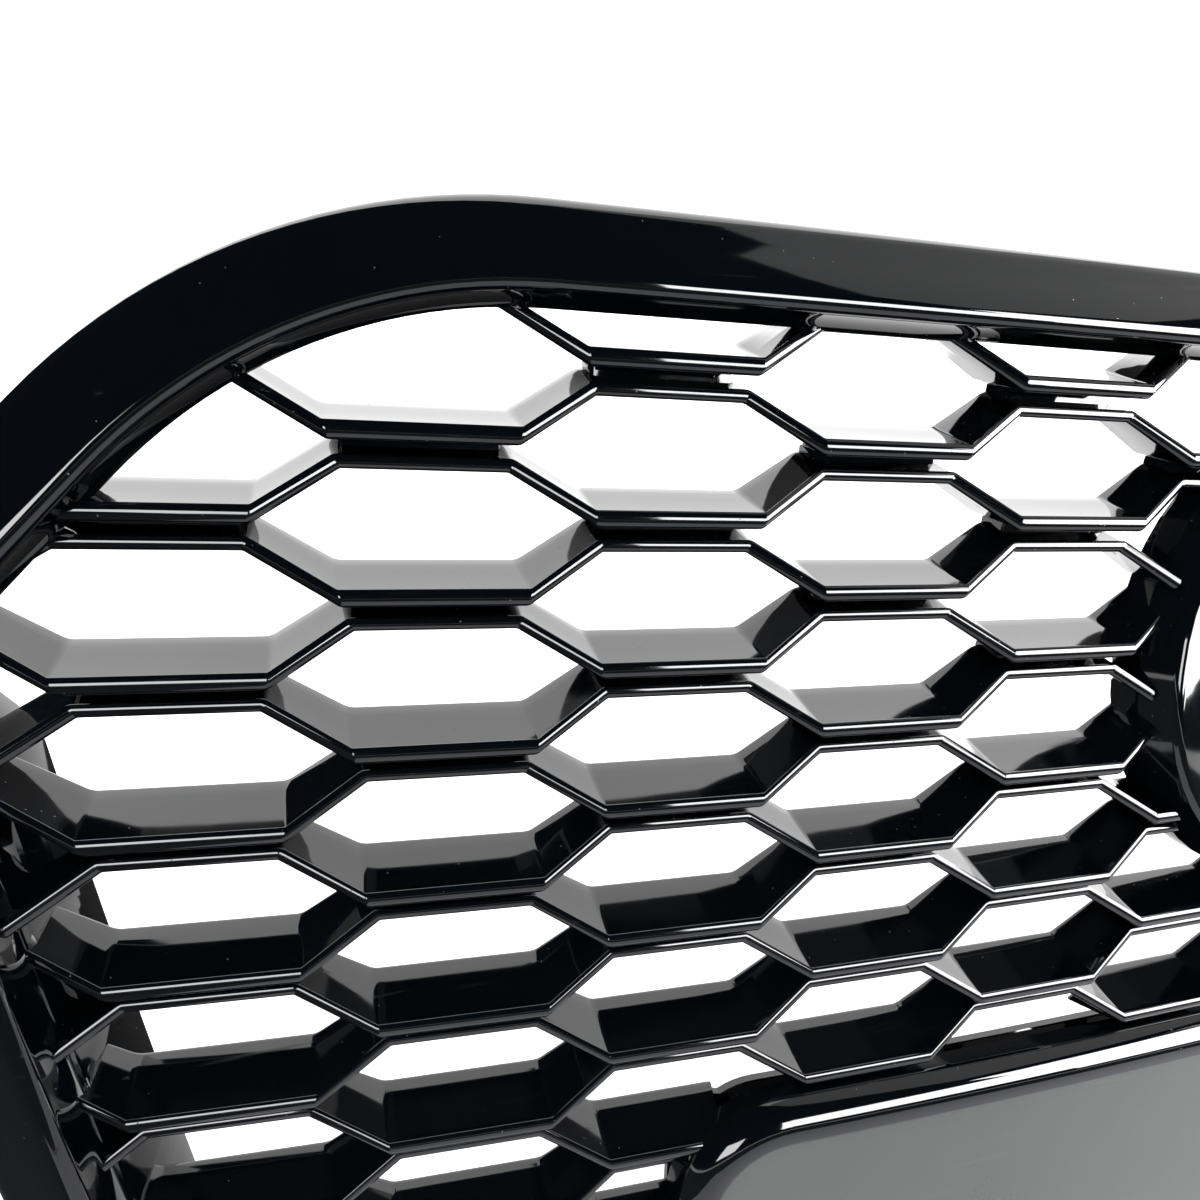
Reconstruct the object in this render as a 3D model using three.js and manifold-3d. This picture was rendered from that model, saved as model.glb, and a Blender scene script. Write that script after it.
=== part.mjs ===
// Honeycomb front grille for a passenger car: surround frame, honeycomb insert, number plate plinth,
// badge base with a blank cover, and the screws, spring nuts and spring clips that hold it together.
//
// Millimetres, +Z up, -Y towards the front of the car, +X to the viewer's right.
// The origin is the middle of the top face of the upper centre tab.
// Inside the file, points are given on the grille's own surface first: x across, z up from the centre
// of the first full cell row, y from surfaceY(x, z). The last group moves all of it to the origin.

import * as THREE from 'three';
import { mergeVertices } from 'three/addons/utils/BufferGeometryUtils.js';
import Module from 'manifold-3d';

const wasm = await Module();
wasm.setup();

// ---- driving dimensions ---------------------------------------------------------------------------

const GAP = 0.3;                    // clearance between neighbouring pieces

const LEAN = 0.3;                   // how far the surface leans back per millimetre of height, at z = 0
const SWEEP = 1.338e-4;             // plan curvature: y grows by SWEEP * x^2
const NOSE = 4.104e-4;              // side curvature: y grows by NOSE * z^2

const COLUMN_PITCH = 53;
const ROW_PITCH = 30.9;
const HALF_COLUMNS = 8;             // columns each side of the centre one
const ROWS = 11;
const GROOVE = 5.5;                 // spacing of the two strips at a flat
const LOWER_FLAT = 38.1;            // length of a cell's lower flat
const UPPER_FLAT = 34.4;            // length of a cell's upper flat
const LOWER_LIFT = 4.1;             // a lower flat starts this much further forward than an upper one
const STRIP_FRONT = 3.6;            // strip thickness at the front bead
const STRIP_BACK = 5.0;             // strip thickness at the back edge
const STRIP_DEPTH = 15.7;
const STRIP_RISE = 3.0;             // the strip's middle climbs this much towards the back
const STRIP_UP = 0.9;               // strip middle above the lattice line

const OPENING = [                   // left half of the opening in the surround: corners and their radii
  { x: 0, z: 12.3, r: 0 },
  { x: -341, z: 12.3, r: 120 },
  { x: -411, z: -56, r: 30 },
  { x: -376, z: -300, r: 45 },
  { x: 0, z: -300, r: 0 },
];
const BAND = 19.3;                  // width of the surround outside the opening
const FRAME_PROFILE = [             // surround section: [outward from the opening, forward of the surface]
  [0, 0], [2.2, 8.2], [3.6, 10.2], [5.6, 10.6], [8.5, 9.9], [15.5, 7.4], [18.3, 5.2], [BAND, 2.2],
  [BAND, -16], [16.5, -16], [16.5, 1.5], [14.5, 4], [8.5, 6.7], [6, 6.2], [4.6, 4.5], [3.2, 0],
];
const RIM = { shallow: 5, deep: 28, lean: 3.5, from: -45, to: -80 };   // wall behind the opening's edge

const PLINTH = { x: 267, top: -169.5, bottom: -287, r: 30, forward: 7.2, lean: 0.1, panel: 3, wall: 8,
  back: 18 };
const PLINTH_PROFILE = [            // plinth border: [outward from its outline, forward of its panel]
  [0, -8], [0, -4.4], [-2.2, 0.9], [-7.4, 3], [-8.9, 3], [-10.4, 1.9], [-12.4, 0], [-12.4, -3],
  [-3, -3], [-3, -8],
];
const BADGE = { x: 131.7, z: -65, half: 62, r: 60, forward: 5, lean: 0.24, seat: 2.4, back: 16 };
const BADGE_PROFILE = [             // badge base: [outward from its outline, forward of its face]
  [0, -16], [0, -9], [-4.4, -1.6], [-6.6, 0], [-16, 0], [-16, -5.4], [-9.5, -5.4], [-3, -10.5], [-3, -16],
];
// Bands of the insert behind both: gap and thickness, then outer edge, outer edge above, inner edge.
const LANDING = { front: 0.3, thick: 3 };
const PLINTH_LANDING = { edge: -5, above: -9, inside: -22 };
const BADGE_LANDING = { edge: -2, above: -2, inside: -22 };

const INSERT_SCREWS = [             // on the surround's flange, left half: [x, z] close to the opening
  [-70, 12], [-250, 12], [-390, -32], [-400, -140], [-384, -240], [-200, -300],
];
const PLINTH_SCREWS = [[-244, -192], [-244, -264]];
const BADGE_SCREWS = [[-66, -23], [-66, -107]];
const SCREW = { shank: 1.5, head: 3.4, headHeight: 2.4, reach: 9.6 };
const SIDE_CLIPS = [[-378, -23], [-400, -100], [-386, -215]];
const CLIP_WIDTH = 14;
const CLIP_PROFILE = [              // spring clip over the surround's rear edge
  [19.8, -3.5], [19.6, -16.3], [16.2, -16.3], [16.2, -6], [15.5, -6], [15.5, -17.1], [20.4, -17.1],
  [20.4, -14], [23.4, -9.5], [20.7, -3.5],
];

const TAB = { y: 45, z: 12.3 + BAND, thick: 3, back: 16, hole: 3.6 };
const TAB_PLACES = [{ x: 0, half: 30 }, { x: -150, half: 15 }, { x: 150, half: 15 },
  { x: -270, half: 15 }, { x: 270, half: 15 }];
const NUT = { half: 9, reach: 18, sheet: 0.9, hole: 2.6, collar: 4.2, collarHeight: 4 };
const HOOKS = [-310, -110, 110, 310];
const HOOK = { half: 11, thick: 3, drop: 9, depth: 24 };

// ---- materials ------------------------------------------------------------------------------------

const glossBlack = new THREE.MeshStandardMaterial({ color: 0x0b0b0d, roughness: 0.08, metalness: 0 });
const panelBlack = new THREE.MeshStandardMaterial({ color: 0x1a1b1c, roughness: 0.3, metalness: 0 });
const backPlastic = new THREE.MeshStandardMaterial({ color: 0x101011, roughness: 0.5, metalness: 0 });
const zincSteel = new THREE.MeshStandardMaterial({ color: 0xa9abae, roughness: 0.35, metalness: 1 });

// ---- surface and outlines -------------------------------------------------------------------------

const surfaceY = (x, z) => LEAN * z + SWEEP * x * x + NOSE * z * z;
const plinthY = (x, z) => surfaceY(0, PLINTH.top) - PLINTH.forward
  + PLINTH.lean * (z - PLINTH.top) + SWEEP * x * x;
const badgeY = (x, z) => surfaceY(0, BADGE.z) - BADGE.forward + BADGE.lean * (z - BADGE.z);

/** Points along corners with the given radii; straight runs are cut so that they follow the surface. */
function roundedPath(corners, arcSteps = 5, longest = 56) {
  const path = [];
  const at = (i) => new THREE.Vector2(corners[i].x, corners[i].z);
  for (let i = 0; i < corners.length; i++) {
    const before = at((i + corners.length - 1) % corners.length);
    path.push(...cornerArc(before, at(i), at((i + 1) % corners.length), corners[i].r, arcSteps));
  }
  return path.flatMap((p, i) => splitRun(p, path[(i + 1) % path.length], longest));
}

/** Points of an arc that rounds the corner between two neighbours. */
function cornerArc(before, corner, after, radius, steps) {
  const a = before.clone().sub(corner).normalize();
  const b = after.clone().sub(corner).normalize();
  const half = Math.acos(a.dot(b)) / 2;
  const centre = corner.clone().addScaledVector(a.clone().add(b).normalize(), radius / Math.sin(half));
  const spoke = corner.clone().addScaledVector(a, radius / Math.tan(half)).sub(centre);
  const turn = Math.sign(b.cross(a)) * (Math.PI - 2 * half);
  const origin = new THREE.Vector2();
  return Array.from({ length: steps + 1 }, (_, k) => spoke.clone()
    .rotateAround(origin, (turn * k) / steps).add(centre));
}

/** p and the points that cut the run from p to q into equal parts no longer than longest. */
function splitRun(p, q, longest) {
  const parts = Math.max(1, Math.ceil(p.distanceTo(q) / longest));
  return Array.from({ length: parts }, (_, k) => p.clone().lerp(q, k / parts));
}

/** Unit outward direction at each point of a counter-clockwise path, lengthened at its corners. */
function outwardDirections(path) {
  return path.map((p, i) => {
    const before = p.clone().sub(path[(i + path.length - 1) % path.length]).normalize();
    const after = path[(i + 1) % path.length].clone().sub(p).normalize();
    const sum = before.add(after).normalize();
    return new THREE.Vector2(sum.y, -sum.x).divideScalar(sum.dot(after));
  });
}

const counterClockwise = (path) => (THREE.ShapeUtils.area(path) < 0 ? path.slice().reverse() : path);

/** The path moved outward by distance. */
function offsetPath(path, distance) {
  const out = outwardDirections(path);
  return path.map((p, i) => p.clone().addScaledVector(out[i], distance));
}

function openingPath() {
  const right = OPENING.slice(1, -1).reverse().map(({ x, z, r }) => ({ x: -x, z, r }));
  return counterClockwise(roundedPath([...OPENING.slice(1, -1), ...right]));
}

const rectanglePath = (halfWidth, bottom, top, r) => counterClockwise(roundedPath([
  { x: -halfWidth, z: bottom, r }, { x: halfWidth, z: bottom, r },
  { x: halfWidth, z: top, r }, { x: -halfWidth, z: top, r },
]));

// ---- solids ---------------------------------------------------------------------------------------

/** A manifold solid from a closed three.js geometry. */
function solid(geometry) {
  const bare = geometry.index ? geometry.toNonIndexed() : geometry;
  ['normal', 'uv', 'color'].forEach((name) => bare.deleteAttribute(name));
  const merged = mergeVertices(bare, 1e-4);
  return new wasm.Manifold(new wasm.Mesh({
    numProp: 3,
    vertProperties: new Float32Array(merged.attributes.position.array),
    triVerts: new Uint32Array(merged.index.array),
  }));
}

const union = (solids) => solids.reduce((all, next) => all.add(next));

/** A solid through rings of points [x, y, z]; closed joins the last ring to the first. */
function loft(rings, closed = false) {
  const count = rings[0].length;
  const triangles = [];
  const last = closed ? rings.length : rings.length - 1;
  for (let i = 0; i < last; i++) {
    const a = i * count;
    const b = ((i + 1) % rings.length) * count;
    for (let k = 0; k < count; k++) {
      const n = (k + 1) % count;
      triangles.push([a + k, b + k, b + n], [a + k, b + n, a + n]);
    }
  }
  if (!closed) triangles.push(...capTriangles(rings[0], 0, false));
  if (!closed) triangles.push(...capTriangles(rings.at(-1), (rings.length - 1) * count, true));
  return outwardSolid(rings.flat(), triangles);
}

/** Triangles that close one ring, worked out in the plane that shows the ring best. */
function capTriangles(ring, start, flip) {
  const points = ring.map((p) => new THREE.Vector3(...p));
  const normal = new THREE.Vector3();
  points.forEach((p, i) => {
    const q = points[(i + 1) % points.length];
    normal.add(new THREE.Vector3().crossVectors(p, q));
  });
  const turn = new THREE.Quaternion().setFromUnitVectors(normal.normalize(), new THREE.Vector3(0, 0, 1));
  const flat = points.map((p) => p.clone().applyQuaternion(turn)).map((p) => new THREE.Vector2(p.x, p.y));
  return THREE.ShapeUtils.triangulateShape(flat, [])
    .map(([a, b, c]) => (flip ? [start + a, start + c, start + b] : [start + a, start + b, start + c]));
}

/** A solid from points and triangles, turned inside out if its triangles face inward. */
function outwardSolid(points, triangles) {
  const [a, b, c] = [new THREE.Vector3(), new THREE.Vector3(), new THREE.Vector3()];
  const volume = triangles.reduce((sum, [i, j, k]) => sum
    + a.set(...points[i]).dot(b.set(...points[j]).cross(c.set(...points[k]))), 0);
  const facing = volume < 0 ? triangles.map(([i, j, k]) => [i, k, j]) : triangles;
  const geometry = new THREE.BufferGeometry();
  geometry.setAttribute('position', new THREE.Float32BufferAttribute(points.flat(), 3));
  geometry.setIndex(facing.flat());
  return solid(geometry);
}

/** A profile of [outward, forward] points, or one for each place, carried round a closed path. */
function band(path, profile, heightOf) {
  const out = outwardDirections(path);
  const profileAt = typeof profile === 'function' ? profile : () => profile;
  return loft(path.map((p, i) => profileAt(p).map(([outward, forward]) => {
    const at = p.clone().addScaledVector(out[i], outward);
    return [at.x, heightOf(at.x, at.y) - forward, at.y];
  })), true);
}

/** A straight prism along Y over a closed path of x, z points. */
function prism(path, yFront, yBack) {
  const geometry = new THREE.ExtrudeGeometry(new THREE.Shape(path), {
    depth: yBack - yFront,
    bevelEnabled: false,
  });
  geometry.rotateX(Math.PI / 2);
  geometry.translate(0, yBack, 0);
  return solid(geometry);
}

function box(x0, x1, y0, y1, z0, z1) {
  const geometry = new THREE.BoxGeometry(x1 - x0, y1 - y0, z1 - z0);
  geometry.translate((x0 + x1) / 2, (y0 + y1) / 2, (z0 + z1) / 2);
  return solid(geometry);
}

/** A round bar along Y. */
function bar(x, z, radius, y0, y1, sides = 8) {
  const geometry = new THREE.CylinderGeometry(radius, radius, y1 - y0, sides);
  geometry.translate(x, (y0 + y1) / 2, z);
  return solid(geometry);
}

/** A round bar along Z. */
function post(x, y, radius, z0, z1, sides = 10) {
  const geometry = new THREE.CylinderGeometry(radius, radius, z1 - z0, sides);
  geometry.rotateX(Math.PI / 2);
  geometry.translate(x, y, (z0 + z1) / 2);
  return solid(geometry);
}

/** A slab of even thickness over heightOf, from forward to back of it, cut to a path. */
function shell(path, heightOf, forward, back, columns, rows) {
  const half = Math.max(...path.map((p) => p.x)) + 1;
  const top = Math.max(...path.map((p) => p.y)) + 1;
  const bottom = Math.min(...path.map((p) => p.y)) - 1;
  const across = Array.from({ length: columns + 1 }, (_, k) => -half + (2 * half * k) / columns);
  const up = Array.from({ length: rows + 1 }, (_, k) => bottom + ((top - bottom) * k) / rows);
  const slab = loft(across.map((x) => [
    ...up.map((z) => [x, heightOf(x, z) - forward, z]),
    ...up.slice().reverse().map((z) => [x, heightOf(x, z) + back, z]),
  ]));
  return slab.intersect(prism(path, -400, 400));
}

/** A named mesh from a solid. */
function piece(name, body, material) {
  const { vertProperties, triVerts } = body.getMesh();
  const geometry = new THREE.BufferGeometry();
  geometry.setAttribute('position', new THREE.BufferAttribute(vertProperties, 3));
  geometry.setIndex(new THREE.BufferAttribute(triVerts, 1));
  geometry.computeVertexNormals();
  const mesh = new THREE.Mesh(geometry, material);
  mesh.name = name;
  return mesh;
}

const mirrored = (places) => places.flatMap(([x, z]) => [[x, z], [-x, z]]);

// ---- honeycomb ------------------------------------------------------------------------------------

const CELL_HALF = (ROW_PITCH - GROOVE) / 2;
const isEven = (column) => Math.abs(column) % 2 === 0;
const cellZ = (column, row) => -(isEven(column) ? row - 1 : row - 0.5) * ROW_PITCH + ROW_PITCH;

/** Corners of a cell at a depth behind the surface: lower flat, right corner, upper flat, left corner. */
function cellRing(column, row, depth) {
  const wall = (STRIP_FRONT + ((STRIP_BACK - STRIP_FRONT) * depth) / STRIP_DEPTH) / 2;
  const rise = STRIP_UP + (STRIP_RISE * depth) / STRIP_DEPTH;
  const flat = CELL_HALF - wall;
  const lower = LOWER_FLAT / 2 - wall * 0.3;
  const upper = UPPER_FLAT / 2 - wall * 0.3;
  const far = COLUMN_PITCH - UPPER_FLAT / 2 + 1;
  const corners = [[-lower, -flat], [lower, -flat], [far, 0], [upper, flat], [-upper, flat], [-far, 0]];
  const x = column * COLUMN_PITCH;
  const z = cellZ(column, row) + rise;
  return corners.map(([dx, dz]) => [x + dx, surfaceY(x, z) + depth, z + dz]);
}

/** Is this cell wholly behind the number plate plinth? */
function isBehindPlinth(column, row) {
  const z = cellZ(column, row);
  return Math.abs(column * COLUMN_PITCH) < PLINTH.x - COLUMN_PITCH && z < PLINTH.top - ROW_PITCH;
}

/** The lattice: a curved slab less its cells; cells beside the surround's lower sides stay blind. */
function latticeSolid() {
  const cells = [];
  for (let row = 1; row <= ROWS; row++) {
    for (let column = -HALF_COLUMNS; column <= HALF_COLUMNS; column++) {
      if (isBehindPlinth(column, row)) continue;
      const isBlind = Math.abs(column) === HALF_COLUMNS && row > 4;
      const end = isBlind ? STRIP_DEPTH - 6 : STRIP_DEPTH + 8;
      cells.push(loft([cellRing(column, row, -12), cellRing(column, row, end)]));
    }
  }
  const slab = shell(offsetPath(opening, -GAP), surfaceY, 0, STRIP_DEPTH - LOWER_LIFT / 2, 10, 5);
  return slab.subtract(union(cells));
}

/** Section of the insert's rim: a wall behind the opening's edge, deeper at the sides and below. */
function rimProfile(p) {
  const share = THREE.MathUtils.smoothstep(-p.y, -RIM.from, -RIM.to);
  const depth = THREE.MathUtils.lerp(RIM.shallow, RIM.deep, share);
  const inner = -1.6 - RIM.lean * share;
  return [[-1.6, -0.4], [inner, -depth], [inner + 3, -depth], [2.6, -3.4], [14.5, -3.4], [14.5, -0.4]];
}

/** The insert's flat band behind the plinth or the badge base, which takes that piece's screws. */
function landing(path, heightOf, depth, { edge, above, inside }) {
  const { front, thick } = LANDING;
  const top = Math.max(...path.map((p) => p.y));
  return band(path, (p) => {
    const outer = p.y > top - 6 ? above : edge;
    return [[outer, -depth - front], [outer, -depth - front - thick],
      [inside, -depth - front - thick], [inside, -depth - front]];
  }, heightOf);
}

/** What the lattice leaves free for a piece: its walls down to a depth, and all of its inside. */
function clearance(path, heightOf, depth, inside, columns) {
  return shell(offsetPath(path, GAP), heightOf, 60, depth + GAP, columns, 1)
    .add(prism(inside, -400, 400));
}

// ---- screws and their seats -----------------------------------------------------------------------

const nearestIndex = (path, place) => path.reduce(
  (best, p, i) => (p.distanceTo(place) < path[best].distanceTo(place) ? i : best), 0);

/** Where a screw stands: outward of the opening by distance, next to the place given. */
function onFlange(path, [x, z], distance) {
  const out = outwardDirections(path);
  const place = new THREE.Vector2(x, z);
  const near = nearestIndex(path, place);
  const at = path[near].clone().addScaledVector(out[near].clone().normalize(), distance);
  return [at.x, at.y];
}

const screwHole = ([x, z], seat) => bar(x, z, SCREW.shank + 0.4, seat - SCREW.reach - 0.6, seat + 1);

function screw(name, [x, z], seat) {
  const r = SCREW.shank;
  const profile = [[0, -SCREW.reach], [r, -SCREW.reach + 1.5], [r, 0], [SCREW.head, 0],
    [SCREW.head, SCREW.headHeight * 0.6], [SCREW.head * 0.6, SCREW.headHeight],
    [SCREW.head * 0.4, SCREW.headHeight], [0, SCREW.headHeight * 0.3]];
  const geometry = new THREE.LatheGeometry(profile.map(([px, py]) => new THREE.Vector2(px, py)), 8);
  geometry.translate(x, seat + GAP, z);
  return piece(name, solid(geometry), zincSteel);
}

// ---- the pieces -----------------------------------------------------------------------------------

const opening = openingPath();
const plinthOutline = rectanglePath(PLINTH.x, PLINTH.bottom, PLINTH.top, PLINTH.r);
const plinthInside = rectanglePath(PLINTH.x - 12, PLINTH.bottom + 12, PLINTH.top - 1, PLINTH.r - 12);
const badgeOutline = rectanglePath(BADGE.x, BADGE.z - BADGE.half, BADGE.z + BADGE.half, BADGE.r);
const insertScrews = mirrored(INSERT_SCREWS).map((place) => onFlange(opening, place, 10.5));
const plinthScrews = mirrored(PLINTH_SCREWS);
const badgeScrews = mirrored(BADGE_SCREWS);
const flangeSeat = ([x, z]) => surfaceY(x, z) + 5.6;
const plinthSeat = ([x, z]) => plinthY(x, z) + PLINTH.back + LANDING.front + LANDING.thick + 1;
const badgeSeat = ([x, z]) => badgeY(x, z) + BADGE.back + LANDING.front + LANDING.thick + 1.5;

/** A flat tab behind the surround's top edge, with a hole each side of its middle or one hole. */
function topTab({ x, half }) {
  const front = surfaceY(x, TAB.z) + 8;
  const plate = box(x - half, x + half, front, TAB.y + TAB.back, TAB.z - TAB.thick, TAB.z);
  const holes = (half > 20 ? [x - 18, x + 18] : [x])
    .map((at) => post(at, TAB.y + 2, TAB.hole, TAB.z - TAB.thick - 1, TAB.z + 1));
  const gusset = loft([x - 1.5, x + 1.5].map((at) => [
    [at, front, TAB.z - TAB.thick + 0.5], [at, front + 16, TAB.z - TAB.thick + 0.5],
    [at, front, TAB.z - TAB.thick - 9]]));
  const body = half > 20 ? plate.add(gusset) : plate;
  return holes.reduce((left, hole) => left.subtract(hole), body);
}

/** A hook under the surround's lower edge that drops into a slot of the bumper. */
function bottomHook(x) {
  const z = -300 - BAND;
  const y = surfaceY(x, z);
  const arm = box(x - HOOK.half, x + HOOK.half, y + 6, y + HOOK.depth + 8, z, z + HOOK.thick);
  const toe = box(x - HOOK.half, x + HOOK.half, y + HOOK.depth + 5, y + HOOK.depth + 8,
    z - HOOK.drop, z + HOOK.thick);
  return arm.add(toe);
}

function surroundFrame() {
  const bosses = insertScrews.map(([x, z]) => bar(x, z, 3.3, surfaceY(x, z) - 6.8, surfaceY(x, z) - 2));
  const body = union([band(opening, FRAME_PROFILE, surfaceY), ...bosses,
    ...TAB_PLACES.map(topTab), ...HOOKS.map(bottomHook)]);
  const holes = insertScrews.map((place) => screwHole(place, flangeSeat(place)));
  return piece('surround_frame', body.subtract(union(holes)), glossBlack);
}

function honeycombInsert() {
  const cells = latticeSolid()
    .subtract(clearance(plinthOutline, plinthY, PLINTH.wall, plinthInside, 11))
    .subtract(clearance(badgeOutline, badgeY, BADGE.back, offsetPath(badgeOutline, -5), 1));
  const pads = [
    ...insertScrews.map(([x, z]) => bar(x, z, 4.6, surfaceY(x, z) + 1.6, surfaceY(x, z) + 5.6)),
    ...plinthScrews.map((at) => bar(at[0], at[1], 5, plinthSeat(at) - 3, plinthSeat(at))),
    ...badgeScrews.map((at) => bar(at[0], at[1], 5, badgeSeat(at) - 3, badgeSeat(at))),
  ];
  const holes = [
    ...insertScrews.map((at) => screwHole(at, flangeSeat(at))),
    ...plinthScrews.map((at) => screwHole(at, plinthSeat(at))),
    ...badgeScrews.map((at) => screwHole(at, badgeSeat(at))),
  ];
  const body = union([cells, band(opening, rimProfile, surfaceY),
    landing(plinthOutline, plinthY, PLINTH.back, PLINTH_LANDING),
    landing(badgeOutline, badgeY, BADGE.back, BADGE_LANDING), ...pads]);
  return piece('honeycomb_insert', body.subtract(union(holes)), glossBlack);
}

function platePlinth() {
  const panelPath = offsetPath(plinthOutline, -6);
  const panel = shell(panelPath, plinthY, 0, PLINTH.panel, 11, 1);
  const bosses = plinthScrews.map(([x, z]) => bar(x, z, 4, plinthY(x, z) + 1.5, plinthY(x, z) + PLINTH.back - 1));
  const holes = plinthScrews.map((place) => screwHole(place, plinthSeat(place)));
  const body = union([band(plinthOutline, PLINTH_PROFILE, plinthY), panel, ...bosses]);
  return piece('plate_plinth', body.subtract(union(holes)), panelBlack);
}

function badgeBase() {
  const seat = shell(offsetPath(badgeOutline, -15), badgeY, -BADGE.seat, BADGE.seat + 3, 1, 1);
  const bosses = badgeScrews.map(([x, z]) => bar(x, z, 4, badgeY(x, z) + 4, badgeY(x, z) + BADGE.back - 1.5));
  const holes = badgeScrews.map((place) => screwHole(place, badgeSeat(place)));
  const body = union([band(badgeOutline, BADGE_PROFILE, badgeY), seat, ...bosses]);
  return piece('badge_base', body.subtract(union(holes)), glossBlack);
}

/** The plain cover that fills the badge seat. */
function badgeBlank() {
  const outline = offsetPath(badgeOutline, -16 - GAP);
  const crown = offsetPath(badgeOutline, -19);
  const ring = (path, forward) => path.map((p) => [p.x, badgeY(p.x, p.y) - forward, p.y]);
  const body = loft([ring(outline, -BADGE.seat + GAP), ring(outline, 0.4), ring(crown, 1.8)]);
  return piece('badge_blank', body, glossBlack);
}

/** A folded spring clip that straddles the surround's rear edge next to the place given. */
function sideClip(name, [x, z]) {
  const near = nearestIndex(opening, new THREE.Vector2(x, z));
  const p = opening[near];
  const q = opening[(near + 1) % opening.length];
  const middle = p.clone().lerp(q, 0.5);
  const along = q.clone().sub(p).normalize();
  const outward = new THREE.Vector2(along.y, -along.x);
  const rings = [-CLIP_WIDTH / 2, CLIP_WIDTH / 2].map((step) => CLIP_PROFILE.map(([away, forward]) => {
    const at = middle.clone().addScaledVector(along, step).addScaledVector(outward, away);
    return [at.x, surfaceY(at.x, at.y) - forward, at.y];
  }));
  return piece(name, loft(rings), zincSteel);
}

/** A U-shaped spring nut pushed over a top tab from behind. */
function springNut(name, x) {
  const back = TAB.y + TAB.back + GAP;
  const front = back - NUT.reach;
  const top = TAB.z + GAP;
  const bottom = TAB.z - TAB.thick - GAP;
  const body = union([
    box(x - NUT.half, x + NUT.half, front, back + NUT.sheet, top, top + NUT.sheet),
    box(x - NUT.half, x + NUT.half, front + 2, back + NUT.sheet, bottom - NUT.sheet, bottom),
    box(x - NUT.half, x + NUT.half, back, back + NUT.sheet, bottom - NUT.sheet, top + NUT.sheet),
    post(x, TAB.y + 2, NUT.collar, bottom - NUT.collarHeight, bottom),
  ]);
  const hole = post(x, TAB.y + 2, NUT.hole, bottom - NUT.collarHeight - 1, top + 2);
  return piece(name, body.subtract(hole), zincSteel);
}

// ---- assembly -------------------------------------------------------------------------------------

const fromSurface = new THREE.Group();
fromSurface.position.set(0, -TAB.y, -TAB.z);
fromSurface.add(surroundFrame(), honeycombInsert(), platePlinth(), badgeBase(), badgeBlank());
insertScrews.forEach((at, i) => fromSurface.add(screw(`insert_screw_${i + 1}`, at, flangeSeat(at))));
plinthScrews.forEach((at, i) => fromSurface.add(screw(`plinth_screw_${i + 1}`, at, plinthSeat(at))));
badgeScrews.forEach((at, i) => fromSurface.add(screw(`badge_screw_${i + 1}`, at, badgeSeat(at))));
mirrored(SIDE_CLIPS).forEach((at, i) => fromSurface.add(sideClip(`side_clip_${i + 1}`, at)));
TAB_PLACES.filter(({ half }) => half < 20)
  .forEach(({ x }, i) => fromSurface.add(springNut(`spring_nut_${i + 1}`, x)));

const grille = new THREE.Group();
grille.name = 'front_grille';
grille.add(fromSurface);

export default grille;
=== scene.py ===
"""Looks of the honeycomb front grille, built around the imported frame.

Sizes are in millimetres on the grille's own surface, as in the CAD: x across, z up from the centre of
the first full cell row, and y from surface_y(x, z). place() turns such a point into metres in the
row's frame.
"""

import math
import random

import bmesh
import bpy
from mathutils import Matrix, Vector


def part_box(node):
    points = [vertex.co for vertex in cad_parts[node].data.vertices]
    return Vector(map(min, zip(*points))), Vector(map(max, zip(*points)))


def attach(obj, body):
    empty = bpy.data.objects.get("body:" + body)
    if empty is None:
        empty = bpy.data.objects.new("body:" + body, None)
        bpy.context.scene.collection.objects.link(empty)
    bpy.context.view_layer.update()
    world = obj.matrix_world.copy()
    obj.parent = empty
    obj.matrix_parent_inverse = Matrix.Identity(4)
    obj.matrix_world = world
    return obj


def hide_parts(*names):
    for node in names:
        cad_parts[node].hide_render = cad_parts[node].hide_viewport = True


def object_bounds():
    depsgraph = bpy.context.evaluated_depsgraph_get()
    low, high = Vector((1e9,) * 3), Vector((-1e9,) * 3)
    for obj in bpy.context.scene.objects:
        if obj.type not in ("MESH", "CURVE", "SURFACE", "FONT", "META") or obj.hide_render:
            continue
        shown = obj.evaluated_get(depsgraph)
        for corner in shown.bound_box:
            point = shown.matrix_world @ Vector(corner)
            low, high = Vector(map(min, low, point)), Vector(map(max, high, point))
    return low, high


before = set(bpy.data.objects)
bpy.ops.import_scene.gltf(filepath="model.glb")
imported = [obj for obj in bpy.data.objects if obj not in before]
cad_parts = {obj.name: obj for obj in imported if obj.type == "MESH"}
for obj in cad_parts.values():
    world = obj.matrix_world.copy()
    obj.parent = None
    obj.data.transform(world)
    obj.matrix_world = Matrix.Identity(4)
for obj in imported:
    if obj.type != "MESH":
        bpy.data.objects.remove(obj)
cad_low, cad_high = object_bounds()

# ---- driving dimensions -----------------------------------------------------------------------------

MM = 0.001
GAP = 0.3                                    # clearance between neighbouring pieces
THROUGH = 300                                # half length of a cut that goes right through
BAND = 19.3                                  # width of the surround outside the opening

LEAN, SWEEP, NOSE = 0.3, 1.338e-4, 4.104e-4  # the surface: y = LEAN z + SWEEP x^2 + NOSE z^2
COLUMN_PITCH, ROW_PITCH = 53.0, 30.9
HALF_COLUMNS, ROWS = 8, 11                   # columns each side of the centre one, and rows
BLIND_ROWS = range(5, 11)                    # rows whose outermost cells are closed
BLIND_DEPTHS = 8.0, 11.0                     # front and back of their floors, behind the surface
GROOVE = 5.5                                 # spacing of the two strips at a flat
LOWER_FLAT, UPPER_FLAT = 38.1, 34.4          # lengths of a cell's flats
LOWER_LIFT = 4.1                             # a lower flat starts this much further forward
STRIP_DEPTH, STRIP_RISE, STRIP_UP = 15.7, 3.0, 0.9
CELL_HALF = (ROW_PITCH - GROOVE) / 2
LOWER_BEAD, UPPER_BEAD, SLANT_BEAD = 1.87, 1.45, 1.5     # half heights of a strip's front bead
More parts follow.
